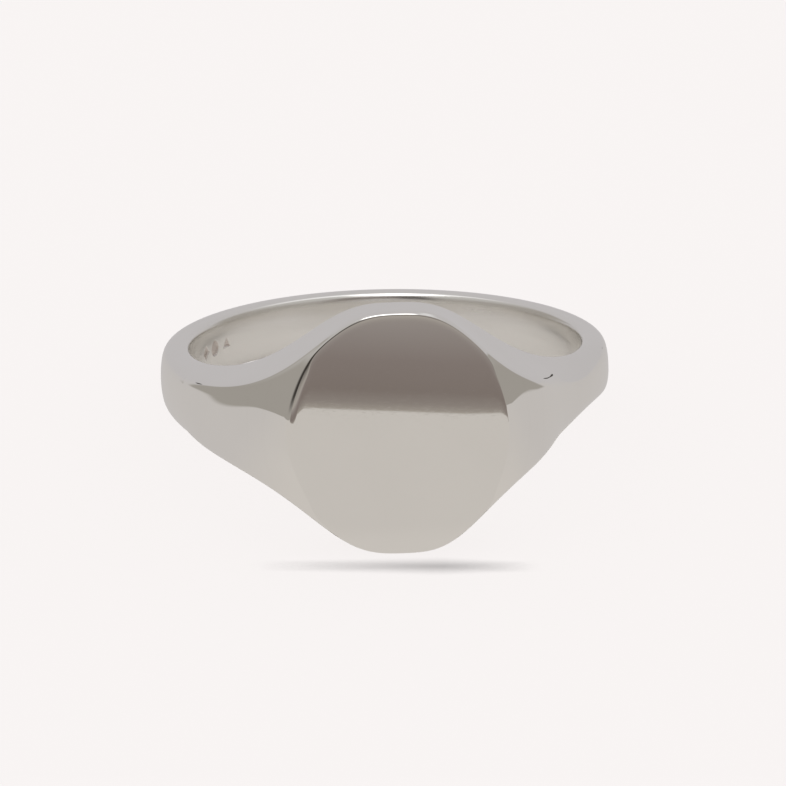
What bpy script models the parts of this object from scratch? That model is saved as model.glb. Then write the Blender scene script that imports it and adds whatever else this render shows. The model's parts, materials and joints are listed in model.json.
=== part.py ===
"""Signet ring in polished sterling silver, US size 7, as a bench-made ring in soldered pieces.

Every piece is modelled about the finger axis: local Z is the axis of the finger bore, -Y points at
the signet, and an angle is counted round the bore from the signet, positive towards +X (the right
shoulder). The ring's body is one flowing form, a loft of rounded sections that is broad and flat at
the signet and a slim comfort band at the back. It is cut across into head, shoulders and shank, with
a film of silver solder in each joint. A flat table plate is soldered over the head and filed flush.

The pieces hang from one empty that lays the ring on its side, as it rests on a table: on the lower
edge of the head and on the back of the shank.
"""
import math
from collections import namedtuple

import bmesh
import bpy
from mathutils import Matrix, Vector

MM = 0.001

# Driving dimensions, in millimetres and degrees.
BORE_RADIUS = 8.65          # inside diameter 17.3 mm
FACE_OFFSET = 10.85         # finger axis to the flat of the signet
TABLE_THICKNESS = 0.6
FACE_EDGE_ROUND = 0.12
SHOULDER_START = 34.0       # joint between head and shoulder
SHANK_START = 75.0          # joint between shoulder and shank
SOLDER_THICKNESS = 0.06
JOINT_CLEARANCE = 0.02      # between a solder film and the metal on each side of it
STANDING_FLAT = 0.03        # depth of the tiny flats worn where the ring stands on a table

# Each pair is the value at the signet and the value round the back of the band.
CROWN_RADIUS = (11.93, 9.92)    # finger axis to the outside, before the signet is cut flat
EDGE_HEIGHT = (5.44, 1.2)       # half the width over the outer edges
RIM_HEIGHT = (5.4, 1.2)         # half the width at the bore
CROWNING = (0.037, 0.1)         # how fast the outside falls away from its middle, per mm
EDGE_SOFTNESS = (0.43, 1.3)
BORE_SOFTNESS = (0.35, 0.6)
BORE_RELIEF = 0.08              # how far the bore opens out at its rims, for comfort

# How far round (degrees) and how sharply a value settles from the signet's to the band's.
RIM_TAPER = (31.6, 2.82)
CROWNING_TAPER = (40.7, 5.5)
BORE_TAPER = (30.0, 4.0)
EXTRA_ABOVE = (0.0, 0.0)         # the band's inner edge is a little deeper below than above
EXTRA_BELOW = (0.0, 0.14)
EXTRA_TAPER = (60.0, 4.0)

# The right shoulder is slimmer: its outer edges are pinched in, by depth, round an angle.
Pinch = namedtuple("Pinch", "depth angle spread")
Shoulder = namedtuple("Shoulder", "crown_taper edge_taper softness_taper upper_pinch lower_pinch")
LEFT = Shoulder(crown_taper=(52.8, 4.16), edge_taper=(22.5, 3.07), softness_taper=(60.0, 12.0),
                upper_pinch=Pinch(0.0, 57.0, 16.0), lower_pinch=Pinch(0.0, 57.0, 16.0))
RIGHT = Shoulder(crown_taper=(39.5, 6.4), edge_taper=(21.1, 3.6), softness_taper=(43.0, 12.0),
                 upper_pinch=Pinch(0.45, 57.0, 16.0), lower_pinch=Pinch(0.65, 66.0, 18.0))

# Punch marks in the bore: three plain shapes on the left of the shank.
MARK_ANGLES = (-114.5, -120.5, -127.0)
MARK_CORNERS = (4, 16, 3)
MARK_HEIGHT = 0.76
MARK_WIDTH = 0.72
MARK_DEPTH = 0.08

STATION_SPACING = 6.0       # degrees between sections of the band
HEAD_SPACING = 4.0
POINTS_PER_SPAN = 2         # section points to each control point
SMALLEST_EDGE = 0.005       # shorter edges, left where a cut passes a corner, are merged


def clear_scene():
    for item in list(bpy.data.objects):
        bpy.data.objects.remove(item, do_unlink=True)


def polished_metal(name, colour, roughness):
    material = bpy.data.materials.new(name)
    material.use_nodes = True
    shader = material.node_tree.nodes["Principled BSDF"]
    shader.inputs["Base Color"].default_value = (*colour, 1.0)
    shader.inputs["Metallic"].default_value = 1.0
    shader.inputs["Roughness"].default_value = roughness
    return material


def taper(angle, ends, reach, fall):
    """Holds the first end value at the signet and settles to the second round the back."""
    head, band = ends
    spread = math.tan(math.radians(abs(angle)) / 2) / math.tan(math.radians(reach) / 2)
    return band + (head - band) / (1 + spread ** fall)


def half_section(angle, side, pinch, extra):
    """Half of the section's control polygon, (radius, height) from bore to crown."""
    crown = taper(angle, CROWN_RADIUS, *side.crown_taper)
    pinched = pinch.depth * math.exp(-((abs(angle) - pinch.angle) / pinch.spread) ** 2)
    edge_height = taper(angle, EDGE_HEIGHT, *side.edge_taper) - pinched
    crowning = taper(angle, CROWNING, *CROWNING_TAPER)
    rim_height = taper(angle, RIM_HEIGHT, *RIM_TAPER) + taper(angle, extra, *EXTRA_TAPER)
    rim_corner = Vector((BORE_RADIUS + BORE_RELIEF, rim_height))
    edge_corner = Vector((crown - crowning * edge_height ** 2, edge_height))

    across = edge_corner - rim_corner
    along = across.normalized()
    bore_softness = min(taper(angle, BORE_SOFTNESS, *BORE_TAPER), 0.45 * across.length)
    edge_softness = min(taper(angle, EDGE_SOFTNESS, *side.softness_taper), 0.54 * across.length)
    rim_start = rim_corner + bore_softness * along
    rim_end = edge_corner - edge_softness * along

    def crown_point(share):
        height = edge_height * share
        return Vector((crown - crowning * height ** 2, height))

    turn = 1 - min(edge_softness / edge_height, 0.75)
    return [
        Vector((BORE_RADIUS, 0.0)),
        Vector((BORE_RADIUS, 0.3 * rim_corner.y)),
        rim_corner - Vector((0.65 * BORE_RELIEF, min(bore_softness, 0.5 * rim_corner.y))),
        rim_corner,
        rim_start,
        (rim_start + rim_end) / 2,
        rim_end,
        edge_corner,
        crown_point(turn),
        crown_point(0.5 * turn),
        crown_point(0.0),
    ]


def closed_spline(controls, steps):
    """Points of the closed, uniform cubic B-spline through the neighbourhood of its controls."""
    count = len(controls)
    points = []
    for index in range(count):
        before, start, end, after = (controls[(index + shift) % count] for shift in (-1, 0, 1, 2))
        for step in range(steps):
            t = step / steps
            points.append(((1 - t) ** 3 * before
                           + (3 * t ** 3 - 6 * t ** 2 + 4) * start
                           + (-3 * t ** 3 + 3 * t ** 2 + 3 * t + 1) * end
                           + t ** 3 * after) / 6)
    return points


def section(angle):
    """The closed section at an angle, as points in space, in metres."""
    turned = (angle + 180.0) % 360.0 - 180.0
    side = LEFT if turned < 0 else RIGHT
    upper = half_section(turned, side, side.upper_pinch, EXTRA_ABOVE)
    mirrored = half_section(turned, side, side.lower_pinch, EXTRA_BELOW)
    lower = [Vector((point.x, -point.y)) for point in reversed(mirrored[1:-1])]
    around = math.radians(turned)
    return [Vector((point.x * math.sin(around), -point.x * math.cos(around), point.y)) * MM
            for point in closed_spline(upper + lower, POINTS_PER_SPAN)]


def loft(start, end, spacing):
    """Solid between two angles, through a section about every `spacing` degrees."""
    spans = max(1, round((end - start) / spacing))
    mesh = bmesh.new()
    rings = [[mesh.verts.new(point) for point in section(start + (end - start) * index / spans)]
             for index in range(spans + 1)]
    for ring, following in zip(rings, rings[1:]):
        for index in range(len(ring)):
            mesh.faces.new((ring[index - 1], ring[index], following[index], following[index - 1]))
    mesh.faces.new(rings[0])
    mesh.faces.new(rings[-1])
    bmesh.ops.recalc_face_normals(mesh, faces=mesh.faces)
    return mesh


def cut_away(mesh, point, outward):
    """Cuts a mesh at a plane, closes it, and returns the new face."""
    geometry = mesh.verts[:] + mesh.edges[:] + mesh.faces[:]
    cut = bmesh.ops.bisect_plane(mesh, geom=geometry, plane_co=point, plane_no=outward, clear_outer=True)
    outline = [item for item in cut["geom_cut"] if isinstance(item, bmesh.types.BMEdge)]
    filled = bmesh.ops.holes_fill(mesh, edges=outline, sides=0)
    bmesh.ops.recalc_face_normals(mesh, faces=mesh.faces)
    return filled["faces"][0]


def cut_flat(mesh, offset, keep_front):
    """Cuts square to the signet's normal at `offset` mm from the axis, and returns the new face."""
    direction = 1.0 if keep_front else -1.0
    return cut_away(mesh, Vector((0.0, -offset * MM, 0.0)), Vector((0.0, direction, 0.0)))


def finish_piece(name, mesh, material, axis):
    """Turns a bmesh into a named object under the ring's axis."""
    bmesh.ops.remove_doubles(mesh, verts=mesh.verts, dist=SMALLEST_EDGE * MM)
    data = bpy.data.meshes.new(name)
    mesh.to_mesh(data)
    mesh.free()
    data.materials.append(material)
    data.shade_smooth()
    data.set_sharp_from_angle(angle=math.radians(35.0))
    piece = bpy.data.objects.new(name, data)
    piece.parent = axis
    bpy.context.collection.objects.link(piece)
    return piece


def joint_edges(angle):
    """Angles at which a joint's metal and solder end: metal, solder, solder, metal."""
    half_film = math.degrees(SOLDER_THICKNESS / 2 / BORE_RADIUS)
    half_joint = math.degrees((SOLDER_THICKNESS / 2 + JOINT_CLEARANCE) / BORE_RADIUS)
    return angle - half_joint, angle - half_film, angle + half_film, angle + half_joint


def make_table(silver, solder, axis):
    """The flat signet plate and the solder film under it."""
    reach = joint_edges(SHOULDER_START)[0]
    plate_back = FACE_OFFSET - TABLE_THICKNESS
    plate = loft(-reach, reach, HEAD_SPACING)
    cut_flat(plate, plate_back, keep_front=True)
    face = cut_flat(plate, FACE_OFFSET, keep_front=False)
    bmesh.ops.bevel(plate, geom=face.edges[:], offset=FACE_EDGE_ROUND * MM, segments=2,
                    profile=0.5, affect="EDGES", clamp_overlap=True)
    finish_piece("signet_table", plate, silver, axis)

    film_front = plate_back - JOINT_CLEARANCE
    film = loft(-reach, reach, HEAD_SPACING)
    cut_flat(film, film_front - SOLDER_THICKNESS, keep_front=True)
    cut_flat(film, film_front, keep_front=False)
    finish_piece("table_solder", film, solder, axis)


def make_head(silver, axis):
    """The thick head under the table, curved behind to the bore."""
    reach = joint_edges(SHOULDER_START)[0]
    head = loft(-reach, reach, HEAD_SPACING)
    seat = FACE_OFFSET - TABLE_THICKNESS - SOLDER_THICKNESS - 2 * JOINT_CLEARANCE
    cut_flat(head, seat, keep_front=False)
    return finish_piece("signet_head", head, silver, axis)


def make_shoulders(silver, axis):
    start = joint_edges(SHOULDER_START)[3]
    end = joint_edges(SHANK_START)[0]
    finish_piece("right_shoulder", loft(start, end, STATION_SPACING), silver, axis)
    finish_piece("left_shoulder", loft(-end, -start, STATION_SPACING), silver, axis)


def make_solder_joints(solder, axis):
    """One film between each pair of neighbouring lengths of the band."""
    for side, label in ((1, "right"), (-1, "left")):
        for angle, joint in ((SHOULDER_START, "head"), (SHANK_START, "shank")):
            first, last = sorted(side * edge for edge in joint_edges(angle)[1:3])
            finish_piece(f"{label}_{joint}_solder", loft(first, last, STATION_SPACING), solder, axis)


def mark_cutter(number, angle, corners, axis):
    """A punch standing in the bore wall, a prism whose length points outwards from the axis."""
    punch = bmesh.new()
    bmesh.ops.create_cone(punch, cap_ends=True, segments=corners, radius1=0.5, radius2=0.5, depth=2.0)
    size = Matrix.Diagonal((MARK_HEIGHT * MM, MARK_WIDTH * MM, MARK_DEPTH * MM, 1.0))
    stand_up = Matrix.Rotation(math.radians(90.0), 4, "X") @ Matrix.Rotation(math.radians(90.0), 4, "Z")
    to_wall = Matrix.Translation((0.0, -BORE_RADIUS * MM, 0.0))
    swing = Matrix.Rotation(math.radians(angle), 4, "Z")
    bmesh.ops.transform(punch, matrix=swing @ to_wall @ stand_up @ size, verts=punch.verts)
    bmesh.ops.recalc_face_normals(punch, faces=punch.faces)
    data = bpy.data.meshes.new(f"mark_cutter_{number}")
    punch.to_mesh(data)
    punch.free()
    cutter = bpy.data.objects.new(data.name, data)
    cutter.parent = axis
    cutter.hide_render = True
    cutter.display_type = "WIRE"
    bpy.context.collection.objects.link(cutter)
    return cutter


def make_shank(silver, axis):
    """The band round the back, with three punch marks in its bore."""
    start = joint_edges(SHANK_START)[3]
    shank = finish_piece("shank", loft(start, 360.0 - start, STATION_SPACING), silver, axis)
    for number, (angle, corners) in enumerate(zip(MARK_ANGLES, MARK_CORNERS), start=1):
        punch = shank.modifiers.new(f"mark_{number}", "BOOLEAN")
        punch.operation = "DIFFERENCE"
        punch.object = mark_cutter(number, angle, corners, axis)
    return shank


def resting_tilt(points):
    """Tilt in radians at which the head's lower edge and the back of the band are level."""
    front = [point for point in points if point.y < 0]
    back = [point for point in points if point.y > 0]

    def lowest(group, tilt):
        return min(point.z * math.cos(tilt) - point.y * math.sin(tilt) for point in group)

    low, high = 0.0, math.radians(30.0)
    for _ in range(50):
        middle = (low + high) / 2
        if lowest(front, middle) < lowest(back, middle):
            low = middle
        else:
            high = middle
    return low


def wear_flat(piece, turn, height):
    """Levels the underside of a piece that the ring stands on."""
    mesh = bmesh.new()
    mesh.from_mesh(piece.data)
    up = turn.inverted() @ Vector((0.0, 0.0, 1.0))
    cut_away(mesh, height * up, -up)
    bmesh.ops.remove_doubles(mesh, verts=mesh.verts, dist=SMALLEST_EDGE * MM)
    mesh.to_mesh(piece.data)
    mesh.free()


def lay_on_side(axis, feet):
    """Tilts the ring to stand on its feet on the ground plane, and centres its box over the origin."""
    points = [vertex.co.copy() for piece in axis.children if not piece.hide_render
              for vertex in piece.data.vertices]
    axis.rotation_euler.x = -resting_tilt(points)
    turn = Matrix.Rotation(axis.rotation_euler.x, 3, "X")
    placed = [turn @ point for point in points]
    lowest = [min(point[k] for point in placed) for k in range(3)]
    highest = [max(point[k] for point in placed) for k in range(3)]
    ground = lowest[2] + STANDING_FLAT * MM
    for piece in feet:
        wear_flat(piece, turn, ground)
    axis.location.x = -(lowest[0] + highest[0]) / 2
    axis.location.y = -(lowest[1] + highest[1]) / 2
    axis.location.z = -ground


def main():
    clear_scene()
    silver = polished_metal("polished_silver", (0.66, 0.65, 0.62), 0.08)
    solder = polished_metal("silver_solder", (0.64, 0.62, 0.58), 0.15)
    axis = bpy.data.objects.new("finger_axis", None)
    bpy.context.collection.objects.link(axis)
    make_table(silver, solder, axis)
    head = make_head(silver, axis)
    make_shoulders(silver, axis)
    shank = make_shank(silver, axis)
    make_solder_joints(solder, axis)
    lay_on_side(axis, (head, shank))


main()
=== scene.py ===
"""Looks of the signet ring: every CAD piece again as a fine mesh in polished silver, in a light tent.

The ring is described about its finger axis, in millimetres: Z is the axis of the bore, -Y points at
the signet, and an angle is counted round the bore from the signet, positive towards +X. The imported
frame says where that lies in the row frame. Each piece takes its surface normals from the formula of
the ring's form, so that reflections run on without a break from one piece to the next.
"""
import json
import math
from collections import namedtuple

import bmesh
import bpy
import numpy as np
from mathutils import Matrix, Vector


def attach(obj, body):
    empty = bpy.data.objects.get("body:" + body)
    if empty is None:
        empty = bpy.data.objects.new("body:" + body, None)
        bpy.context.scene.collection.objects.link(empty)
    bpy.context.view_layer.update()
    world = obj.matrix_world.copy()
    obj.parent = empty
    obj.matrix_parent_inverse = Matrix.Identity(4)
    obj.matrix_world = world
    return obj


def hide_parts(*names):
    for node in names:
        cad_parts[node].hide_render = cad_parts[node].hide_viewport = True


MM = 0.001

# The ring's driving dimensions, as in the CAD, in millimetres and degrees.
BORE_RADIUS = 8.65
FACE_OFFSET = 10.85
TABLE_THICKNESS = 0.6
SHOULDER_START = 34.0
SHANK_START = 75.0
SOLDER_WIDTH = 0.1          # the solder fills its joint from metal to metal

# Each pair is the value at the signet and the value round the back of the band.
CROWN_RADIUS = (11.93, 9.92)
EDGE_HEIGHT = (5.44, 1.2)
RIM_HEIGHT = (5.4, 1.2)
CROWNING = (0.037, 0.1)
EDGE_SOFTNESS = (0.43, 1.3)
BORE_SOFTNESS = (0.35, 0.6)
BORE_RELIEF = 0.08          # how far the bore opens out at its rims, for comfort
RIM_TAPER = (31.6, 2.82)
CROWNING_TAPER = (40.7, 5.5)
BORE_TAPER = (30.0, 4.0)
EXTRA_ABOVE = (0.0, 0.0)    # added to the rim height: the band's inner edge is a little deeper below
EXTRA_BELOW = (0.0, 0.14)
EXTRA_TAPER = (60.0, 4.0)

# How the controls of the section are spaced.
BORE_SOFTNESS_MOST = 0.45   # of the rim's width
EDGE_SOFTNESS_MOST = 0.54   # of the rim's width
TURN_MOST = 0.75            # of the outer edge's height, for the rounding of the edge
BORE_CONTROL = 0.3          # of the rim's height: where the bore starts to open out
RELIEF_LEFT = 0.65          # of the bore's relief, where the rounding of the rim starts

# The right shoulder is slimmer: its outer edges are pinched in, by a depth, round an angle.
Pinch = namedtuple("Pinch", "depth angle spread")
NO_PINCH = Pinch(0.0, 0.0, 1.0)
Shoulder = namedtuple("Shoulder", "crown_taper edge_taper softness_taper upper_pinch lower_pinch")
LEFT = Shoulder(crown_taper=(52.8, 4.16), edge_taper=(22.5, 3.07), softness_taper=(60.0, 12.0),
                upper_pinch=NO_PINCH, lower_pinch=NO_PINCH)
RIGHT = Shoulder(crown_taper=(39.5, 6.4), edge_taper=(21.1, 3.6), softness_taper=(43.0, 12.0),
                 upper_pinch=Pinch(0.45, 57.0, 16.0), lower_pinch=Pinch(0.65, 66.0, 18.0))

# The edge round the signet's face, rounded by buffing: how far it drops, by direction on the face.
EDGE_DROP = 0.15            # where the plate is cut, before the rounding
EDGE_LEAST = 0.010
EDGE_MEAN = 0.030
EDGE_LEAN = (-0.035, 0.028)     # more drop towards the left, and towards the top
EDGE_WEAR = (0.065, 165.0, 16.0)    # extra drop, round an angle from the right, over a spread
EDGE_SEGMENTS = 8
FACE_ROLL = 0.5             # degrees that buffing tilts the face at its border
FACE_RINGS = (0.04, 0.09, 0.15, 0.22, 0.30)     # distances from the border, over which the tilt dies away
FACE_SHARES = (0.25, 0.5, 0.75)     # of the way from there to the middle

# Punch marks in the bore: three plain shapes on the left of the shank.
MARK_ANGLES = (-114.5, -120.5, -127.0)
MARK_SIDES = (4, 24, 3)
MARK_HEIGHT = 0.76
MARK_WIDTH = 0.72
MARK_DEPTH = 0.08
MARK_WALL = 0.10            # width of a mark's sloping side
MARK_PAINTED = 0.3          # of its depth: what is sunk deeper than this has the mark's own finish
MARK_REACH = 1.2            # of its depth: no part of a mark lies further outside the bore's wall

# Degrees between sections, and steps along a section in spans of its control polygon.
STATION_SPACING = 1.0
HEAD_SPACING = 0.5
MARK_SPACING = 0.12
SPANS = 20
SECTION_STEP = 0.1
MARK_STEP = 0.025
MARK_SPANS = 1.0            # on each side of the middle of the bore, divided finely for the marks
BORE_SPANS = 1.5            # on each side of it, all of them on the bore's wall
SLOPE_TURN = 0.01           # degrees and spans over which the form's slope is taken
SLOPE_STEP = 0.001


def taper(angle, ends, reach, fall):
    """Holds the first end value at the signet and settles to the second round the back."""
    head, band = ends
    spread = np.tan(np.radians(np.abs(angle)) / 2) / math.tan(math.radians(reach) / 2)
    return band + (head - band) / (1 + spread ** fall)


def by_side(angle, left, right):
    """The left value at negative angles and the right one at the others."""
    return np.where(angle < 0, left, right)


def half_section(angle, pinch_name, extra):
    """Half of the section's control polygon at each angle: (control, angle, radius and height)."""
    sides = (LEFT, RIGHT)
    crown = by_side(angle, *(taper(angle, CROWN_RADIUS, *side.crown_taper) for side in sides))
    pinches = [getattr(side, pinch_name) for side in sides]
    pinched = by_side(angle, *(pinch.depth * np.exp(-((np.abs(angle) - pinch.angle) / pinch.spread) ** 2)
                               for pinch in pinches))
    edge_height = by_side(angle, *(taper(angle, EDGE_HEIGHT, *side.edge_taper) for side in sides)) - pinched
    rim_height = taper(angle, RIM_HEIGHT, *RIM_TAPER) + taper(angle, extra, *EXTRA_TAPER)
    crowning = taper(angle, CROWNING, *CROWNING_TAPER)
    bore = np.full_like(angle, BORE_RADIUS)
    rim = bore + BORE_RELIEF

    def point(radius, height):
        return np.stack([radius, height], axis=-1)

    def crown_point(share):
        height = edge_height * share
        return point(crown - crowning * height ** 2, height)

    rim_corner = point(rim, rim_height)
    edge_corner = crown_point(1.0)
    across = edge_corner - rim_corner
    width = np.linalg.norm(across, axis=-1)
    along = across / width[..., None]
    bore_softness = np.minimum(taper(angle, BORE_SOFTNESS, *BORE_TAPER), BORE_SOFTNESS_MOST * width)
    softness = by_side(angle, *(taper(angle, EDGE_SOFTNESS, *side.softness_taper) for side in sides))
    edge_softness = np.minimum(softness, EDGE_SOFTNESS_MOST * width)
    rim_start = rim_corner + bore_softness[..., None] * along
    rim_end = edge_corner - edge_softness[..., None] * along
    turn = 1 - np.minimum(edge_softness / edge_height, TURN_MOST)
    return [
        point(bore, 0 * bore),
        point(bore, BORE_CONTROL * rim_height),
        point(rim - RELIEF_LEFT * BORE_RELIEF, rim_height - np.minimum(bore_softness, rim_height / 2)),
        rim_corner,
        rim_start,
        (rim_start + rim_end) / 2,
        rim_end,
        edge_corner,
        crown_point(turn),
        crown_point(turn / 2),
        crown_point(0.0),
    ]


def section_controls(angle):
    """Closed control polygon of the whole section at each angle."""
    upper = half_section(angle, "upper_pinch", EXTRA_ABOVE)
    mirrored = half_section(angle, "lower_pinch", EXTRA_BELOW)
    lower = [control * (1, -1) for control in reversed(mirrored[1:-1])]
    return np.stack(upper + lower)


def spline_point(controls, place):
    """Radius and height on the closed, uniform cubic B-spline, `place` control spans along."""
    span = np.floor(place).astype(int)
    t = (place - span)[:, None, None]
    before, start, end, after = (controls[(span + shift) % SPANS] for shift in (-1, 0, 1, 2))
    return ((1 - t) ** 3 * before + (3 * t ** 3 - 6 * t ** 2 + 4) * start
            + (-3 * t ** 3 + 3 * t ** 2 + 3 * t + 1) * end + t ** 3 * after) / 6


def smooth_step(value):
    share = np.clip(value, 0.0, 1.0)
    return share * share * (3 - 2 * share)


def mark_depth(angle, height):
    """How deep the punch marks go into the bore wall there."""
    depth = np.zeros(np.broadcast_shapes(angle.shape, height.shape))
    for centre, sides in zip(MARK_ANGLES, MARK_SIDES):
        across = np.radians(angle - centre) * BORE_RADIUS * 2 / MARK_WIDTH
        up = height * 2 / MARK_HEIGHT
        inradius = math.cos(math.pi / sides)
        outward = np.full_like(depth, -1.0)
        for side in range(sides):
            facing = (2 * side + 1) * math.pi / sides
            outward = np.maximum(outward, up * math.cos(facing) + across * math.sin(facing))
        inside = (inradius - outward) * MARK_WIDTH / 2
        depth = np.maximum(depth, MARK_DEPTH * smooth_step(inside / MARK_WALL))
    return depth


def form(angle, place, marked=False):
    """Points of the ring's form in millimetres, (place, angle, 3)."""
    turned = (angle + 180.0) % 360.0 - 180.0
    shape = spline_point(section_controls(turned), place)
    radius, height = shape[..., 0], shape[..., 1]
    if marked:
        on_bore = np.minimum(place % SPANS, SPANS - place % SPANS) < BORE_SPANS
        radius = radius + on_bore[:, None] * mark_depth(turned[None, :], height)
    around = np.radians(turned)
    return np.stack([radius * np.sin(around), -radius * np.cos(around), height], axis=-1)


def form_normals(angle, place, marked=False):
    """Outward unit normals of the form, from its slope along and across the section."""
    across = form(angle, place + SLOPE_STEP, marked) - form(angle, place - SLOPE_STEP, marked)
    around = form(angle + SLOPE_TURN, place, marked) - form(angle - SLOPE_TURN, place, marked)
    normal = np.cross(across, around)
    return normal / np.linalg.norm(normal, axis=-1, keepdims=True)


def evenly(start, end, spacing):
    """Values from start to end, both included, about `spacing` apart."""
    return np.linspace(start, end, max(2, round((end - start) / spacing) + 1))


def loft(name, angles, places, marked=False):
    """Closed mesh of the form between two angles, carrying each point's normal."""
    points = form(angles, places, marked).transpose(1, 0, 2).reshape(-1, 3)
    normals = form_normals(angles, places, marked).transpose(1, 0, 2).reshape(-1, 3)
    ring, count = len(places), len(angles)
    here = np.arange(ring)
    following = (here + 1) % ring
    faces = []
    for station in range(count - 1):
        base, ahead = station * ring, (station + 1) * ring
        faces.extend(np.stack([base + here, base + following, ahead + following, ahead + here],
                              axis=-1).tolist())
    faces.append(list(range(ring))[::-1])
    faces.append(list(range((count - 1) * ring, count * ring)))
    mesh = bpy.data.meshes.new(name)
    mesh.from_pydata(points.tolist(), [], faces)
    mesh.attributes.new("form_normal", "FLOAT_VECTOR", "POINT").data.foreach_set(
        "vector", normals.ravel())
    flat = np.zeros(len(faces), dtype=np.int32)
    flat[-2:] = 1
    mesh.attributes.new("flat", "INT", "FACE").data.foreach_set("value", flat)
    return mesh


def cut_flat(mesh, offset, keep_front, fill=True):
    """Cuts square to the signet's normal at `offset` mm from the axis; returns the cut's edges."""
    direction = 1.0 if keep_front else -1.0
    geometry = mesh.verts[:] + mesh.edges[:] + mesh.faces[:]
    cut = bmesh.ops.bisect_plane(mesh, geom=geometry, dist=1e-6, plane_co=(0.0, -offset, 0.0),
                                 plane_no=(0.0, direction, 0.0), clear_outer=True)
    outline = [item for item in cut["geom_cut"] if isinstance(item, bmesh.types.BMEdge)]
    if fill:
        flat = mesh.faces.layers.int["flat"]
        for face in bmesh.ops.holes_fill(mesh, edges=outline, sides=0)["faces"]:
            face[flat] = 1
            face.normal_update()
            if face.normal.y * direction < 0:
                face.normal_flip()
    return outline


def walk(edges):
    """The vertices of a closed loop of edges, in order, anticlockwise seen along +Y."""
    linked = {}
    for edge in edges:
        for vertex in edge.verts:
            linked.setdefault(vertex, []).append(edge)
    start = max(linked, key=lambda vertex: vertex.co.z)
    order, edge = [start], linked[start][0]
    while True:
        vertex = edge.other_vert(order[-1])
        if vertex is start:
            break
        order.append(vertex)
        edge = next(other for other in linked[vertex] if other is not edge)
    area = sum(a.co.x * b.co.z - b.co.x * a.co.z for a, b in zip(order, order[1:] + order[:1]))
    return order if area > 0 else order[::-1]


def edge_drop(out):
    """How far the rounded edge drops from the face, in a direction on the face (right, up)."""
    wear, centre, spread = EDGE_WEAR
    away = (math.degrees(math.atan2(out.y, out.x)) - centre + 180) % 360 - 180
    drop = EDGE_MEAN + EDGE_LEAN[0] * out.x + EDGE_LEAN[1] * out.y + wear * math.exp(-(away / spread) ** 2)
    return max(EDGE_LEAST, drop)


def add_face_and_edge(mesh, outline):
    """Closes the table with its flat face, over an edge rounded to the wall all the way round."""
    layer = mesh.verts.layers.float_vector["form_normal"]
    front = Vector((0.0, -1.0, 0.0))
    below = walk(outline)
    arcs = []
    for vertex in below:
        wall = vertex[layer].normalized()
        turn = wall.angle(front)
        drop = edge_drop(Vector((vertex.co.x, vertex.co.z)).normalized())
        radius = drop / (1 - math.cos(turn))
        climb = (front - wall * math.cos(turn)) / math.sin(turn)
        foot = vertex.co + climb * (EDGE_DROP - drop) / math.sin(turn)
        start = mesh.verts.new(foot)
        start[layer] = wall
        centre = foot - radius * wall
        arc = [vertex, start]
        for step in range(1, EDGE_SEGMENTS + 1):
            share = step / EDGE_SEGMENTS
            normal = (wall * math.sin((1 - share) * turn) + front * math.sin(share * turn)) / math.sin(turn)
            point = mesh.verts.new(centre + radius * normal)
            point[layer] = normal
            arc.append(point)
        arcs.append(arc)
    rings = [list(ring) for ring in zip(*arcs)]
    edge_of_face = rings[-1]
    middle = sum((vertex.co for vertex in edge_of_face), Vector()) / len(edge_of_face)
    middle.y = -FACE_OFFSET
    for vertex in edge_of_face:
        vertex.co.y = -FACE_OFFSET
    for vertex in edge_of_face:
        vertex[layer] = front + math.tan(math.radians(FACE_ROLL)) * (vertex.co - middle).normalized()
    for depth in FACE_RINGS:
        tilt = math.radians(FACE_ROLL) * (1 - depth / FACE_RINGS[-1]) ** 2
        inner = []
        for vertex in edge_of_face:
            outward = (vertex.co - middle).normalized()
            point = mesh.verts.new(vertex.co - depth * outward)
            point[layer] = front + math.tan(tilt) * outward
            inner.append(point)
        rings.append(inner)
    rolled = rings[-1]
    for share in FACE_SHARES:
        inner = [mesh.verts.new(vertex.co.lerp(middle, share)) for vertex in rolled]
        for vertex in inner:
            vertex[layer] = front
        rings.append(inner)
    for ring, inner in zip(rings, rings[1:]):
        for index in range(len(ring)):
            following = (index + 1) % len(ring)
            mesh.faces.new((ring[index], ring[following], inner[following], inner[index]))
    centre = mesh.verts.new(middle)
    centre[layer] = front
    for index in range(len(inner)):
        mesh.faces.new((inner[index], inner[(index + 1) % len(inner)], centre))


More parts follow.
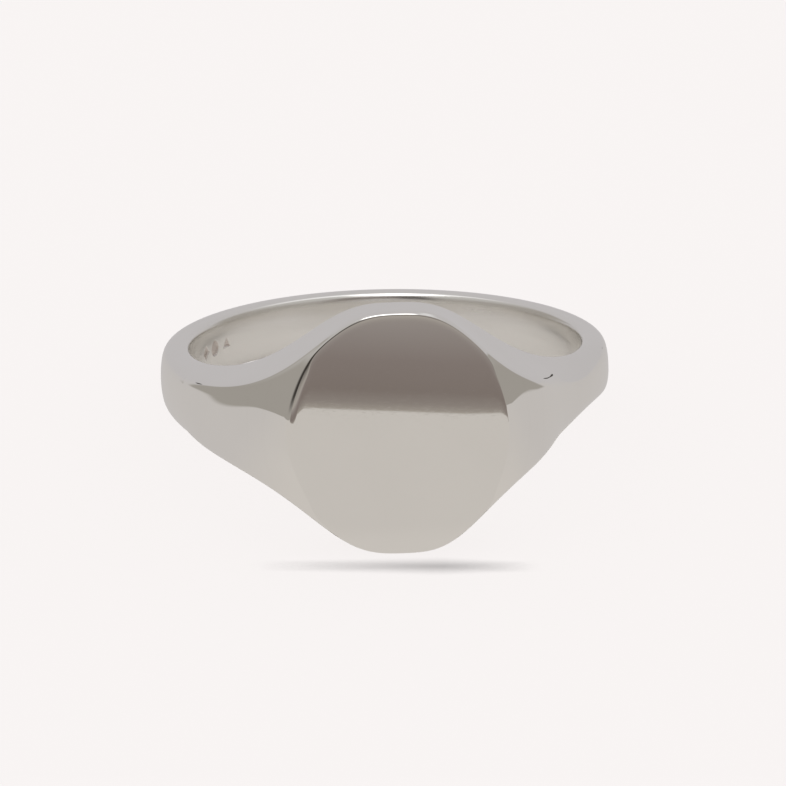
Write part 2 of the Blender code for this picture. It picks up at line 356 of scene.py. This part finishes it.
def finish_piece(name, mesh, materials, placement):
    """Puts the mesh where the ring lies, with the form's own normals, in place of its CAD node."""
    count = len(mesh.vertices)
    points = np.empty(count * 3)
    mesh.vertices.foreach_get("co", points)
    normals = np.empty(count * 3)
    mesh.attributes["form_normal"].data.foreach_get("vector", normals)
    turn = np.array(placement.to_3x3())
    points = points.reshape(-1, 3) @ turn.T * MM + np.array(placement.translation)
    points[:, 2] = np.maximum(points[:, 2], 0.0)    # the tiny flats worn where the ring stands
    normals = normals.reshape(-1, 3) @ turn.T
    normals /= np.linalg.norm(normals, axis=-1, keepdims=True)
    mesh.vertices.foreach_set("co", points.ravel())
    mesh.update()

    corner_vertex = np.empty(len(mesh.loops), dtype=np.int32)
    mesh.loops.foreach_get("vertex_index", corner_vertex)
    flat = np.empty(len(mesh.polygons), dtype=np.int32)
    mesh.attributes["flat"].data.foreach_get("value", flat)
    totals = np.empty(len(mesh.polygons), dtype=np.int32)
    mesh.polygons.foreach_get("loop_total", totals)
    face_normals = np.empty(len(mesh.polygons) * 3)
    mesh.polygons.foreach_get("normal", face_normals)
    flat_corner = np.repeat(flat, totals)[:, None] > 0
    corner_normals = np.where(flat_corner, np.repeat(face_normals.reshape(-1, 3), totals, axis=0),
                              normals[corner_vertex])
    mesh.attributes.remove(mesh.attributes["form_normal"])
    mesh.attributes.remove(mesh.attributes["flat"])
    mesh.shade_smooth()
    mesh.normals_split_custom_set(corner_normals.tolist())
    for material in materials:
        mesh.materials.append(material)
    piece = bpy.data.objects.new(name + "_fine", mesh)
    bpy.context.scene.collection.objects.link(piece)
    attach(piece, "root")
    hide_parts(name)
    return piece


def joint_edges(angle):
    """Angles at which a joint's solder starts and ends."""
    half = math.degrees(SOLDER_WIDTH / 2 / BORE_RADIUS)
    return angle - half, angle + half


def head_slice(name, front, back=None):
    """The head between two cuts square to the signet's normal; without `back` it isn't cut behind."""
    reach = joint_edges(SHOULDER_START)[0]
    base = loft(name, evenly(-reach, reach, HEAD_SPACING), np.arange(0, SPANS, SECTION_STEP))
    mesh = bmesh.new()
    mesh.from_mesh(base)
    if back is not None:
        cut_flat(mesh, back, keep_front=True)
    if front == FACE_OFFSET:
        add_face_and_edge(mesh, cut_flat(mesh, FACE_OFFSET - EDGE_DROP, keep_front=False, fill=False))
    else:
        cut_flat(mesh, front, keep_front=False)
    mesh.to_mesh(base)
    mesh.free()
    return base


def make_ring(placement, silver, solder, punched):
    """Every piece of the ring, each standing for the CAD node of its name."""
    places = np.arange(0, SPANS, SECTION_STEP)
    plate_back = FACE_OFFSET - TABLE_THICKNESS
    seat = plate_back - SOLDER_WIDTH
    finish_piece("signet_table", head_slice("signet_table", FACE_OFFSET, plate_back),
                 [silver], placement)
    finish_piece("table_solder", head_slice("table_solder", plate_back, seat),
                 [solder], placement)
    finish_piece("signet_head", head_slice("signet_head", seat), [silver], placement)
    start, end = joint_edges(SHOULDER_START)[1], joint_edges(SHANK_START)[0]
    for label, sign in (("right", 1), ("left", -1)):
        first, last = sorted((sign * start, sign * end))
        shoulder = loft(f"{label}_shoulder", evenly(first, last, STATION_SPACING), places)
        finish_piece(f"{label}_shoulder", shoulder, [silver], placement)
        for angle, joint in ((SHOULDER_START, "head"), (SHANK_START, "shank")):
            first, last = sorted(sign * edge for edge in joint_edges(angle))
            film = loft(f"{label}_{joint}_solder", evenly(first, last, HEAD_SPACING), places)
            finish_piece(f"{label}_{joint}_solder", film, [solder], placement)
    make_shank(placement, silver, punched)


def make_shank(placement, silver, punched):
    """The band round the back, finely divided where the punch marks are."""
    start = joint_edges(SHANK_START)[1]
    margin = math.degrees(MARK_WIDTH / BORE_RADIUS)
    first = 360.0 + min(MARK_ANGLES) - margin
    last = 360.0 + max(MARK_ANGLES) + margin
    angles = np.concatenate([evenly(start, first, STATION_SPACING)[:-1],
                             evenly(first, last, MARK_SPACING)[:-1],
                             evenly(last, 360.0 - start, STATION_SPACING)])
    places = np.concatenate([np.arange(0, MARK_SPANS, MARK_STEP),
                             np.arange(MARK_SPANS, SPANS - MARK_SPANS, SECTION_STEP),
                             np.arange(SPANS - MARK_SPANS, SPANS, MARK_STEP)])
    mesh = loft("shank", angles, places, marked=True)
    piece = finish_piece("shank", mesh, [silver, punched], placement)
    paint_marks(piece.data, placement)


def paint_marks(mesh, placement):
    """Gives the sunk faces of the punch marks their own finish."""
    centres = np.empty(len(mesh.polygons) * 3)
    mesh.polygons.foreach_get("center", centres)
    away = (centres.reshape(-1, 3) - np.array(placement.translation)) @ np.array(placement.to_3x3()) / MM
    radius = np.hypot(away[:, 0], away[:, 1])
    angle = np.degrees(np.arctan2(away[:, 0], -away[:, 1]))
    on_bore = radius < BORE_RADIUS + MARK_REACH * MARK_DEPTH
    sunk = on_bore & (mark_depth(angle, away[:, 2]) > MARK_PAINTED * MARK_DEPTH)
    mesh.polygons.foreach_set("material_index", sunk.astype(np.int32))
    mesh.update()


# ------------------------------------------------------------------ materials

# Two close tones, the roughness of the polish and on its hairlines, and the height of the swell in metres.
Finish = namedtuple("Finish", "light dark smooth worn swell")
SILVER = Finish((0.93, 0.915, 0.885), (0.915, 0.90, 0.87), 0.012, 0.06, 5e-8)
SOLDER = Finish((0.925, 0.91, 0.88), (0.912, 0.896, 0.864), 0.014, 0.07, 5e-8)
PUNCHED = Finish((0.78, 0.73, 0.69), (0.68, 0.62, 0.58), 0.25, 0.45, 2e-6)
CLOUD_RANGE = (0.35, 0.65)      # of the noise, from the dark tone to the light one
HAIRLINE_RANGE = (0.52, 0.80)   # of the noise, from the polish to the hairlines
STREAK_RANGE = (0.3, 0.7)

BORE_SATIN = (0.20, 0.28)       # roughness between the streaks and on them
SATIN_BORDER = (0.10, 0.50)     # millimetres outside the bore's wall, from the satin to the polish

# A noise's scale is in features per metre, the same on each axis or one for each.
Noise = namedtuple("Noise", "scale detail roughness")
CLOUDS = Noise(260.0, 4.0, 0.6)
SWELL = Noise(190.0, 1.0, 0.3)
HAIRLINES = Noise((4000.0, 21000.0, 21000.0), 3.0, 0.7)
HAIRLINE_TURN = (0.0, 0.35, 0.5)    # radians about each axis
STREAKS = Noise((150.0, 150.0, 2200.0), 4.0, 0.6)


def new_material(name):
    material = bpy.data.materials.new(name)
    material.use_nodes = True
    return material, material.node_tree


def link(tree, source, target):
    tree.links.new(source, target)


def add_node(tree, kind, inputs=None, **settings):
    node = tree.nodes.new(kind)
    for key, value in settings.items():
        setattr(node, key, value)
    for key, value in (inputs or {}).items():
        node.inputs[key].default_value = value
    return node


def noise(tree, coordinates, kind):
    """Noise of one scale over the coordinates."""
    texture = add_node(tree, "ShaderNodeTexNoise", {"Scale": kind.scale, "Detail": kind.detail,
                                                    "Roughness": kind.roughness})
    link(tree, coordinates, texture.inputs["Vector"])
    return texture.outputs["Fac"]


def streaky_noise(tree, coordinates, kind, turn=(0.0, 0.0, 0.0)):
    """Noise stretched along the axes on which its scale is smaller."""
    stretch = add_node(tree, "ShaderNodeMapping", {"Scale": kind.scale, "Rotation": turn})
    link(tree, coordinates, stretch.inputs["Vector"])
    return noise(tree, stretch.outputs["Vector"], kind._replace(scale=1.0))


def map_range(tree, value, source, target=(0.0, 1.0)):
    """Carries the value from one range to another, clamped at both ends."""
    scale = add_node(tree, "ShaderNodeMapRange", {"From Min": source[0], "From Max": source[1],
                                                  "To Min": target[0], "To Max": target[1]})
    link(tree, value, scale.inputs["Value"])
    return scale.outputs["Result"]


def satin_bore(tree, place, placement, polish):
    """Keeps the polish outside, and makes the bore satin with soft streaks that run round it."""
    local = add_node(tree, "ShaderNodeMapping", {"Location": placement.to_translation(),
                                                 "Rotation": placement.to_euler()}, vector_type="TEXTURE")
    link(tree, place.outputs["Object"], local.inputs["Vector"])
    flat = add_node(tree, "ShaderNodeVectorMath", {1: (1.0, 1.0, 0.0)}, operation="MULTIPLY")
    link(tree, local.outputs["Vector"], flat.inputs[0])
    radius = add_node(tree, "ShaderNodeVectorMath", operation="LENGTH")
    link(tree, flat.outputs["Vector"], radius.inputs[0])
    border = [(BORE_RADIUS + distance) * MM for distance in SATIN_BORDER]
    outside = map_range(tree, radius.outputs["Value"], border)
    streaks = streaky_noise(tree, local.outputs["Vector"], STREAKS)
    satin = map_range(tree, streaks, STREAK_RANGE, BORE_SATIN)
    finish = add_node(tree, "ShaderNodeMix")
    link(tree, outside, finish.inputs["Factor"])
    link(tree, satin, finish.inputs["A"])
    link(tree, polish, finish.inputs["B"])
    return finish.outputs["Result"]


def metal(name, finish, placement=None):
    """Metal in two close tones, with fine hairlines that dull it and a soft hand-buffed swell.

    With the ring's placement, the finish holds outside and the bore is satin.
    """
    material, tree = new_material(name)
    shader = tree.nodes["Principled BSDF"]
    shader.inputs["Metallic"].default_value = 1.0
    place = add_node(tree, "ShaderNodeTexCoord")

    tone = add_node(tree, "ShaderNodeValToRGB")
    for element, position, colour in zip(tone.color_ramp.elements, CLOUD_RANGE, (finish.dark, finish.light)):
        element.position = position
        element.color = (*colour, 1.0)
    link(tree, noise(tree, place.outputs["Object"], CLOUDS), tone.inputs["Fac"])
    link(tree, tone.outputs["Color"], shader.inputs["Base Color"])

    hairlines = streaky_noise(tree, place.outputs["Object"], HAIRLINES, HAIRLINE_TURN)
    roughness = map_range(tree, hairlines, HAIRLINE_RANGE, (finish.smooth, finish.worn))
    if placement is not None:
        roughness = satin_bore(tree, place, placement, roughness)
    link(tree, roughness, shader.inputs["Roughness"])

    buffed = add_node(tree, "ShaderNodeBump", {"Strength": 1.0, "Distance": finish.swell})
    link(tree, noise(tree, place.outputs["Object"], SWELL), buffed.inputs["Height"])
    link(tree, buffed.outputs["Normal"], shader.inputs["Normal"])
    return material


def graded_light(name, stops, height):
    """Light of a card, graded up its height: stops are (share of the height, colour)."""
    material, tree = new_material(name)
    tree.nodes.remove(tree.nodes["Principled BSDF"])
    glow = add_node(tree, "ShaderNodeEmission")
    place = add_node(tree, "ShaderNodeTexCoord")
    split = add_node(tree, "ShaderNodeSeparateXYZ")
    link(tree, place.outputs["Object"], split.inputs["Vector"])
    share = map_range(tree, split.outputs["Z"], (0.0, height))
    ramp = add_node(tree, "ShaderNodeValToRGB")
    elements = ramp.color_ramp.elements
    elements.remove(elements[1])
    elements[0].position, elements[0].color = stops[0][0], (*stops[0][1], 1.0)
    for position, colour in stops[1:]:
        elements.new(position).color = (*colour, 1.0)
    link(tree, share, ramp.inputs["Fac"])
    link(tree, ramp.outputs["Color"], glow.inputs["Color"])
    link(tree, glow.outputs["Emission"], tree.nodes["Material Output"].inputs["Surface"])
    return material


def painted(name, shining):
    """A surface whose colour is painted on the mesh's points: one that shines, or a matt one."""
    material, tree = new_material(name)
    tree.nodes.remove(tree.nodes["Principled BSDF"])
    paint = add_node(tree, "ShaderNodeAttribute", attribute_name="tone")
    surface = add_node(tree, "ShaderNodeEmission" if shining else "ShaderNodeBsdfDiffuse")
    link(tree, paint.outputs["Color"], surface.inputs["Color"])
    link(tree, surface.outputs[0], tree.nodes["Material Output"].inputs["Surface"])
    return material


# ------------------------------------------------------------------ the studio

# Directions are an azimuth from straight ahead of the signet, positive to the right, and an elevation,
# both in degrees. Lengths are in metres. A pair of limits runs from where a tone starts to where it is full.
FLOOR_TONE = np.array((0.947, 0.913, 0.905))    # what the camera sees
FLOOR_REACH = 12.0
WORLD_TONE = (0.93, 0.922, 0.92)

# The table that the metal sees. Round the ring it glows, and its tones are painted light with painted shade;
# inside the ring it is matt, with painted shade under the back of the band.
TABLE_TONE = np.array((0.607, 0.577, 0.548))
FAR_FRONT_SHARE = 0.96          # of that tone, further out in front
FAR_FRONT_DISTANCE = (0.022, 0.040)
FAR_FRONT_AZIMUTH = (60.0, 30.0)
NEAR_SIDE_TONE = np.array((0.557, 0.533, 0.520))
NEAR_SIDE_AZIMUTH = (30.0, 70.0)
BACK_TONE = np.array((0.530, 0.513, 0.520))
BACK_AZIMUTH = (110.0, 160.0)
WALL_DISTANCE = (0.038, 0.046)  # at which painted shade darkens it towards the left and the right wall
WALL_BORDER = (0.85, 1.15)      # of that distance
WALL_TURN = 98.0                # azimuth ahead of which that distance grows
WALL_TURN_SPREAD = 20.0
INSIDE_TONE = np.array((0.740, 0.714, 0.685))   # the table inside the ring, before its painted shade
INSIDE_RADIUS = 0.0097
BACK_SHADE = (0.0080, 0.0096)   # from where to where painted shade darkens it under the back of the band
BACK_SHADE_SHARE = 0.55

# The dome over the table.
DOME_RADIUS = 2.0
DOME_FOOT = -4.0                # the elevation of its lower edge
SIDE_TONE = np.array((0.350, 0.329, 0.303))
SIDE_HIGH_TONE = np.array((0.495, 0.480, 0.465))
SIDE_HIGH_ELEVATION = (18.0, 46.0)
LEFT_WALL = (-141.0, -134.0)
RIGHT_WALL = (124.0, 114.0)
WALL_FRONT = 10.0               # the walls fade out from here to straight ahead
HIGH_BACK_TONE = np.array((0.86, 0.86, 0.87))
HIGH_BACK_ELEVATION = (42.0, 50.0)
FRONT_TONE = np.array((0.210, 0.185, 0.170))
FRONT_AZIMUTH = (39.0, 29.0)    # on either side
FRONT_FOOT = (1.0, 6.0)
FRONT_TOP = (52.0, 44.0)
DARK_TONE = np.array((0.045, 0.040, 0.036))
LIT_FRONT = (-14.0, -9.0)       # azimuth: the front is dark to the left of it
ROOF_TONE = np.array((2.2, 2.2, 2.2))
ROOF_ELEVATION = (62.0, 72.0)
ROOF_MIDDLE = -6.0              # degrees from straight up, towards the left
ROOF_WIDTH = (17.0, 12.0)

TENT_SPACING = 0.5              # degrees between the points of the tent
INSIDE_ROWS = 40
TABLE_ROWS = 160

# A dark slot as its shoulder sees it: degrees, half-sizes, and the parallax at one metre.
Slot = namedtuple("Slot", "azimuth elevation wide tall aside")
LEFT_SLOT = Slot(-142.6, 4.9, 3.0, 2.8, 0.49)
RIGHT_SLOT = Slot(152.9, -4.3, 0.9, 1.6, -0.39)
SLOT_BORDER = 0.4
SEEN_FROM = 0.0070              # height of the ring's upper edges over the table

# The dim card before the ring, whose lower edge draws the horizon across the signet's face.
CARD_AWAY = 0.142
CARD_ABOVE = 0.00070
CARD_LEAN = 3.8                 # degrees, its right end lower
CARD_WIDTH = 0.120
CARD_HEIGHT = 0.030
CARD_TONES = [(0.0, (0.34, 0.31, 0.275)), (0.016, (0.255, 0.225, 0.205)), (0.040, (0.208, 0.176, 0.160)),
              (0.10, (0.226, 0.192, 0.178)), (0.17, (0.285, 0.255, 0.240)), (0.25, (0.38, 0.35, 0.32)),
              (1.0, (0.10, 0.09, 0.08))]

# The floor's brightness is partly even light, partly light from above, and the rest its own glow.
FILL_SHARE = 0.07
KEY_SHARE = 0.50
KEY_SIZE = 11.0                 # the width of the light above, in degrees

# The ring casts nothing in the light from above. This little card does, and its shadow is thinner than the
# ring's would be.
FLAG_HEIGHT = 0.005
FLAG_FRONT = -0.01115           # its place before the ring, along Y
FLAG_TURN = -4.0                # degrees, its right end further forward
FLAG_ENDS = (-0.0062, 0.0059)
FLAG_MIDDLE = 0.0018            # where it is deepest
FLAG_DEPTH = 0.00075


def quad(name, corners, material):
    """A four-cornered sheet of the studio."""
    mesh = bpy.data.meshes.new(name)
    mesh.from_pydata(corners, [], [(0, 1, 2, 3)])
    mesh.materials.append(material)
    panel = bpy.data.objects.new(name, mesh)
    bpy.context.scene.collection.objects.link(panel)
    return panel


def only_reflected(panel):
    """Leaves the panel to be seen in the metal alone."""
    panel.visible_camera = False
    panel.visible_diffuse = False
    panel.visible_shadow = False
    return panel


def between(value, start, end):
    """0 up to start, 1 past end, and a smooth rise between them; start may be the larger one."""
    return smooth_step((value - start) / (end - start))


def mix(first, second, share):
    """The first tone where the share is 0, and the second where it is 1."""
    return first + (second - first) * share[..., None]


def sides(azimuth, distance):
    """How far a direction belongs to the tent's side walls rather than to its back."""
    left = between(azimuth - LEFT_SLOT.aside / distance, *LEFT_WALL) * between(azimuth, 0, -WALL_FRONT)
    right = between(azimuth - RIGHT_SLOT.aside / distance, *RIGHT_WALL) * between(azimuth, 0, WALL_FRONT)
    return left + right


def slots(azimuth, elevation, distance):
    """How far a direction belongs to one of two dark slots in the tent, each seen from its shoulder."""
    share = 0 * azimuth
    for slot in LEFT_SLOT, RIGHT_SLOT:
        turned = azimuth - slot.azimuth - slot.aside / distance
        inside = 1 - (turned / slot.wide) ** 2 - ((elevation - slot.elevation) / slot.tall) ** 2
        share = share + between(inside, 0, SLOT_BORDER)
    return share


def table_tone(distance, azimuth):
    """Painted light of the glowing table round the ring, with painted shade where it passes under the side
    walls.
    """
    aside = np.abs(azimuth)
    far_front = between(distance, *FAR_FRONT_DISTANCE) * between(aside, *FAR_FRONT_AZIMUTH)
    tone = mix(TABLE_TONE, FAR_FRONT_SHARE * TABLE_TONE, far_front)
    tone = mix(tone, NEAR_SIDE_TONE, between(aside, *NEAR_SIDE_AZIMUTH))
    tone = mix(tone, BACK_TONE, between(aside, *BACK_AZIMUTH))
    ahead = np.maximum(WALL_TURN - aside, 0) / WALL_TURN_SPREAD
    reach = by_side(azimuth, *WALL_DISTANCE) * np.exp(ahead ** 2)
    tone = mix(tone, SIDE_TONE, sides(azimuth, distance) * between(distance / reach, *WALL_BORDER))
    return mix(tone, DARK_TONE, slots(azimuth, -np.degrees(np.arctan2(SEEN_FROM, distance)), distance))


def dome_tone(elevation, azimuth):
    """The light tent: a dim front, grey walls, a bright back and a brighter roof."""
    wall = mix(SIDE_TONE, SIDE_HIGH_TONE, between(elevation, *SIDE_HIGH_ELEVATION))
    back = mix(BACK_TONE, HIGH_BACK_TONE, between(elevation, *HIGH_BACK_ELEVATION))
    tone = mix(back, wall, sides(azimuth, DOME_RADIUS))
    front = between(np.abs(azimuth), *FRONT_AZIMUTH) * between(elevation, *FRONT_FOOT)
    dim = mix(DARK_TONE, FRONT_TONE, between(azimuth, *LIT_FRONT))
    tone = mix(tone, dim, front * between(elevation, *FRONT_TOP))
    tone = mix(tone, DARK_TONE, slots(azimuth, elevation, DOME_RADIUS))
    sideways = np.degrees(np.arcsin(np.cos(np.radians(elevation)) * np.sin(np.radians(azimuth))))
    roof = between(elevation, *ROOF_ELEVATION) * between(np.abs(sideways - ROOF_MIDDLE), *ROOF_WIDTH)
    return mix(tone, ROOF_TONE, roof)


def polar_sheet(name, points, tones, shining):
    """A mesh of rows of points right round the ring, with a tone at each point."""
    rows, count = points.shape[:2]
    faces = [(row * count + index, row * count + (index + 1) % count,
              (row + 1) * count + (index + 1) % count, (row + 1) * count + index)
             for row in range(rows - 1) for index in range(count)]
    mesh = bpy.data.meshes.new(name)
    mesh.from_pydata(points.reshape(-1, 3).tolist(), [], faces)
    colours = np.concatenate([tones.reshape(-1, 3), np.ones((rows * count, 1))], axis=1)
    mesh.color_attributes.new("tone", "FLOAT_COLOR", "POINT").data.foreach_set("color", colours.ravel())
    mesh.materials.append(painted(name + "_paint", shining))
    sheet = bpy.data.objects.new(name, mesh)
    bpy.context.scene.collection.objects.link(sheet)
    return only_reflected(sheet)


def make_floor():
    """The pale floor that the camera sees."""
    material, tree = new_material("pale_floor")
    shader = tree.nodes["Principled BSDF"]
    shader.inputs["Base Color"].default_value = (*(FILL_SHARE * FLOOR_TONE), 1.0)
    shader.inputs["Roughness"].default_value = 1.0
    shader.inputs["Specular IOR Level"].default_value = 0.0
    shader.inputs["Emission Color"].default_value = (*FLOOR_TONE, 1.0)
    shader.inputs["Emission Strength"].default_value = 1 - FILL_SHARE - KEY_SHARE
    reach = FLOOR_REACH
    corners = [(-reach, -reach, 0), (reach, -reach, 0), (reach, reach, 0), (-reach, reach, 0)]
    floor = quad("floor", corners, material)
    floor.visible_glossy = False
    floor.visible_diffuse = False
    floor.visible_shadow = False
    return floor


def level_points(distance, azimuth):
    """Points on the table."""
    around = np.radians(azimuth)
    return np.stack([distance * np.sin(around), -distance * np.cos(around), 0 * distance], axis=-1)


def dome_points(elevation, azimuth):
    """Points on the dome."""
    rise, around = np.radians(elevation), np.radians(azimuth)
    return DOME_RADIUS * np.stack([np.cos(rise) * np.sin(around), -np.cos(rise) * np.cos(around),
                                   np.sin(rise)], axis=-1)


def make_tent():
    """The table and the light tent round the ring, which only the metal sees."""
    azimuths = np.arange(-180.0, 180.0, TENT_SPACING)

    distances = np.linspace(1e-5, INSIDE_RADIUS, INSIDE_ROWS)
    distance, azimuth = np.meshgrid(distances, azimuths, indexing="ij")
    points = level_points(distance, azimuth)
    # Inside the ring the table is matt and lit by the even light; painted shade darkens it more under the
    # back of the band.
    painted_shade = between(points[..., 1], *BACK_SHADE)
    tones = mix(INSIDE_TONE, BACK_SHADE_SHARE * INSIDE_TONE, painted_shade)
    polar_sheet("table_inside", points, tones, shining=False)

    # Round that, the table glows with painted light and painted shade.
    distances = np.geomspace(INSIDE_RADIUS, DOME_RADIUS, TABLE_ROWS)
    distance, azimuth = np.meshgrid(distances, azimuths, indexing="ij")
    polar_sheet("table", level_points(distance, azimuth), table_tone(distance, azimuth), shining=True)

    elevations = np.arange(DOME_FOOT, 90.0, TENT_SPACING)
    elevation, azimuth = np.meshgrid(elevations, azimuths, indexing="ij")
    polar_sheet("dome", dome_points(elevation, azimuth), dome_tone(elevation, azimuth), shining=True)

    make_front_card()


def make_front_card():
    """The card stands upright before the ring, with its lower edge just over the table."""
    half = CARD_WIDTH / 2
    corners = [(-half, 0, 0), (half, 0, 0), (half, 0, CARD_HEIGHT), (-half, 0, CARD_HEIGHT)]
    light = graded_light("front_card_light", CARD_TONES, CARD_HEIGHT)
    card = only_reflected(quad("front_card", corners, light))
    card.location = (0.0, -CARD_AWAY, CARD_ABOVE)
    card.rotation_euler.y = math.radians(CARD_LEAN)


def group_of(name, members):
    """A collection that isn't in the scene and only names its members, for light linking."""
    group = bpy.data.collections.new(name)
    for member in members:
        group.objects.link(member)
    return group


def make_flag():
    """The little card over the floor before the signet, pointed at both ends so that its shadow fades."""
    left, right = FLAG_ENDS
    half = FLAG_DEPTH / 2
    corners = [(left, 0, 0), (FLAG_MIDDLE, -half, 0), (right, 0, 0), (FLAG_MIDDLE, half, 0)]
    flag = quad("flag", corners, new_material("flag_black")[0])
    flag.location = (0.0, FLAG_FRONT, FLAG_HEIGHT)
    flag.rotation_euler.z = math.radians(FLAG_TURN)
    flag.visible_camera = False
    flag.visible_diffuse = False
    flag.visible_glossy = False
    return flag


def make_light(floor, flag):
    """Even light all round, and a soft light above for the floor alone, which only the flag shades."""
    world = bpy.data.worlds.new("studio")
    world.use_nodes = True
    background = world.node_tree.nodes["Background"]
    background.inputs["Color"].default_value = (*WORLD_TONE, 1.0)
    background.inputs["Strength"].default_value = 1.0
    bpy.context.scene.world = world
    light = bpy.data.lights.new("light_from_above", "SUN")
    light.energy = math.pi * KEY_SHARE / FILL_SHARE     # the floor reflects only FILL_SHARE of its tone
    light.angle = math.radians(KEY_SIZE)
    lamp = bpy.data.objects.new("light_from_above", light)
    lamp.light_linking.receiver_collection = group_of("lit_from_above", [floor])
    lamp.light_linking.blocker_collection = group_of("casts_from_above", [flag])
    bpy.context.scene.collection.objects.link(lamp)


# ------------------------------------------------------------------ the camera

# Millimetres and degrees, from the middle of the ring.
CAMERA_DISTANCE = 350.0
CAMERA_LIFT = 15.20         # above the plane square to the finger axis
CAMERA_SWING = 2.78         # towards the left shoulder
CAMERA_ROLL = 0.98
CAMERA_LENS = 359.8
CAMERA_SENSOR = 36.0
CAMERA_CLIP = (0.02, 50.0)  # metres
AIM_RIGHT = 0.325           # how far the camera aims to the right of the middle, and above it
AIM_UP = -1.078


def make_camera(placement):
    """A long lens before the signet and a little above it."""
    lift, swing, roll = (math.radians(angle) for angle in (CAMERA_LIFT, CAMERA_SWING, CAMERA_ROLL))
    away = Vector((-math.sin(swing) * math.cos(lift), -math.cos(swing) * math.cos(lift), math.sin(lift)))
    level = Vector((math.cos(swing), -math.sin(swing), 0.0))
    upright = Vector((math.sin(swing) * math.sin(lift), math.cos(swing) * math.sin(lift), math.cos(lift)))
    right = level * math.cos(roll) - upright * math.sin(roll)
    up = level * math.sin(roll) + upright * math.cos(roll)
    eye = away * CAMERA_DISTANCE
    view = (right * AIM_RIGHT + up * AIM_UP - eye).normalized()
    right = view.cross(up).normalized()
    up = right.cross(view)
    turn = Matrix((right, up, -view)).transposed()
    data = bpy.data.cameras.new("camera")
    data.lens = CAMERA_LENS
    data.sensor_width = CAMERA_SENSOR
    data.clip_start, data.clip_end = CAMERA_CLIP
    camera = bpy.data.objects.new("camera", data)
    bpy.context.scene.collection.objects.link(camera)
    camera.matrix_world = placement @ Matrix.Translation(eye * MM) @ turn.to_4x4()
    bpy.context.scene.camera = camera


def ring_placement(mount):
    """Where the ring's own axes lie in the row frame, from the signet face's centre and normal."""
    centre, normal = Vector(mount["pos_m"]), Vector(mount["axis"])
    turn = Matrix.Rotation(-math.atan2(normal.z, -normal.y), 4, "X")
    return Matrix.Translation(centre - turn @ Vector((0.0, -FACE_OFFSET * MM, 0.0))) @ turn


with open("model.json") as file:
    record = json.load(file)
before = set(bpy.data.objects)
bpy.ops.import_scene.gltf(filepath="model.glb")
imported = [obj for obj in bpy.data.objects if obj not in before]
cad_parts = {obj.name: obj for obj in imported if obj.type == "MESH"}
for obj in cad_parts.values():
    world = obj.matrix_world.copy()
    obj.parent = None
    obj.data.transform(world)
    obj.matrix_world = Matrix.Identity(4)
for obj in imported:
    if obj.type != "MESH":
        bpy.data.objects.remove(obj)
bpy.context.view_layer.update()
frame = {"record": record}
placement = ring_placement(frame["record"]["mounts"][0])

silver = metal("polished_silver", SILVER, placement)
solder = metal("silver_solder", SOLDER, placement)
punched = metal("punched_silver", PUNCHED)
make_ring(placement, silver, solder, punched)
floor = make_floor()
make_tent()
make_light(floor, make_flag())
make_camera(placement)
bpy.context.scene.view_settings.view_transform = "Standard"
